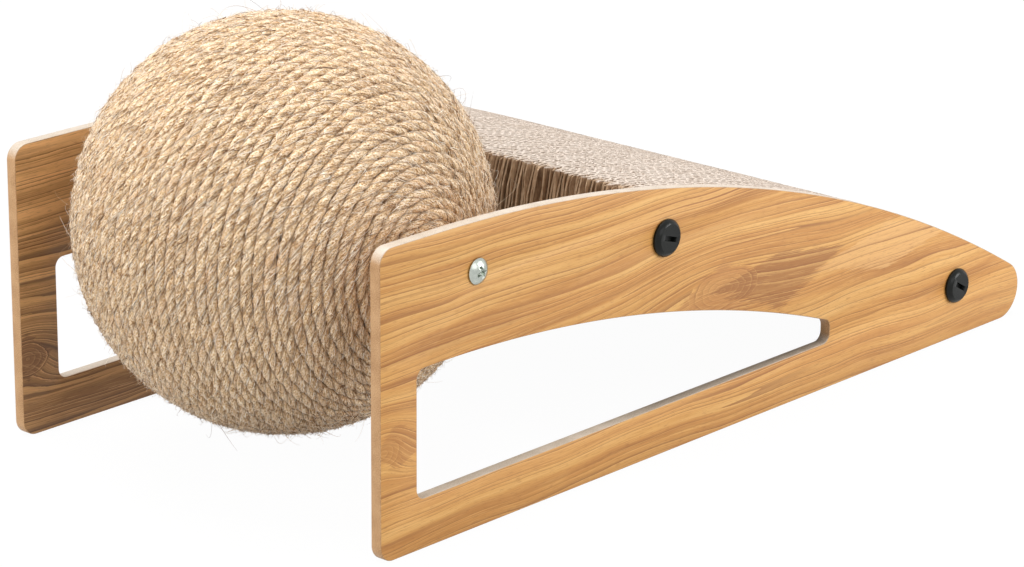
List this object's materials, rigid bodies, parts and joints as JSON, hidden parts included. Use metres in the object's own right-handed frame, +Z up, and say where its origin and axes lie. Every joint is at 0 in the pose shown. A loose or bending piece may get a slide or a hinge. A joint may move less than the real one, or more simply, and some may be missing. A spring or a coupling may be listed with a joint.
{
  "type": "cat scratching ramp",
  "caption": "Low scratching ramp for a cat: two windowed side panels hold a curved corrugated cardboard pad and a rope-wound ball that spins on an axle.",
  "frame": {"origin": "on the floor, in the middle of the overall box", "axes": "+X from the ball end down to the low tip, +Y to the right-hand panel, +Z up"},
  "size_m": [0.536, 0.257, 0.2228],
  "materials": {
    "oak_foil_board": "satin oak-look foil on board",
    "corrugated_cardboard": "raw cut flutes",
    "jute_rope": "three-strand laid rope, hairy",
    "black_plastic": "satin moulded",
    "zinc_plated_steel": "bright zinc plating",
    "beech": "plain turned",
    "brass": "turned",
    "grey_plastic": "moulded",
    "white_nylon": "moulded"
  },
  "bodies": {
    "frame": {"side_panel_left": "oak_foil_board", "side_panel_right": "oak_foil_board", "cardboard_pad": "corrugated_cardboard", "cross_bar_front": "beech", "cross_bar_rear": "beech", "bar_insert_front_left": "brass", "bar_insert_front_right": "brass", "bar_insert_rear_left": "brass", "bar_insert_rear_right": "brass", "cap_screw_front_left": "black_plastic", "cap_screw_front_right": "black_plastic", "cap_screw_rear_left": "black_plastic", "cap_screw_rear_right": "black_plastic", "axle_rod": "zinc_plated_steel", "axle_bolt_left": "zinc_plated_steel", "axle_bolt_right": "zinc_plated_steel", "spacer_sleeve_left": "white_nylon", "spacer_sleeve_right": "white_nylon"},
    "ball": {"ball_core_left": "grey_plastic", "ball_core_right": "grey_plastic", "hub_bush_left": "white_nylon", "hub_bush_right": "white_nylon", "rope_winding": "jute_rope"}
  },
  "joints": [
    {"name": "ball_spin", "type": "hinge", "parent": "frame", "child": "ball", "pos_m": [-0.167, 0, 0.1218], "axis": [0, 1, 0], "continuous": true}
  ]
}
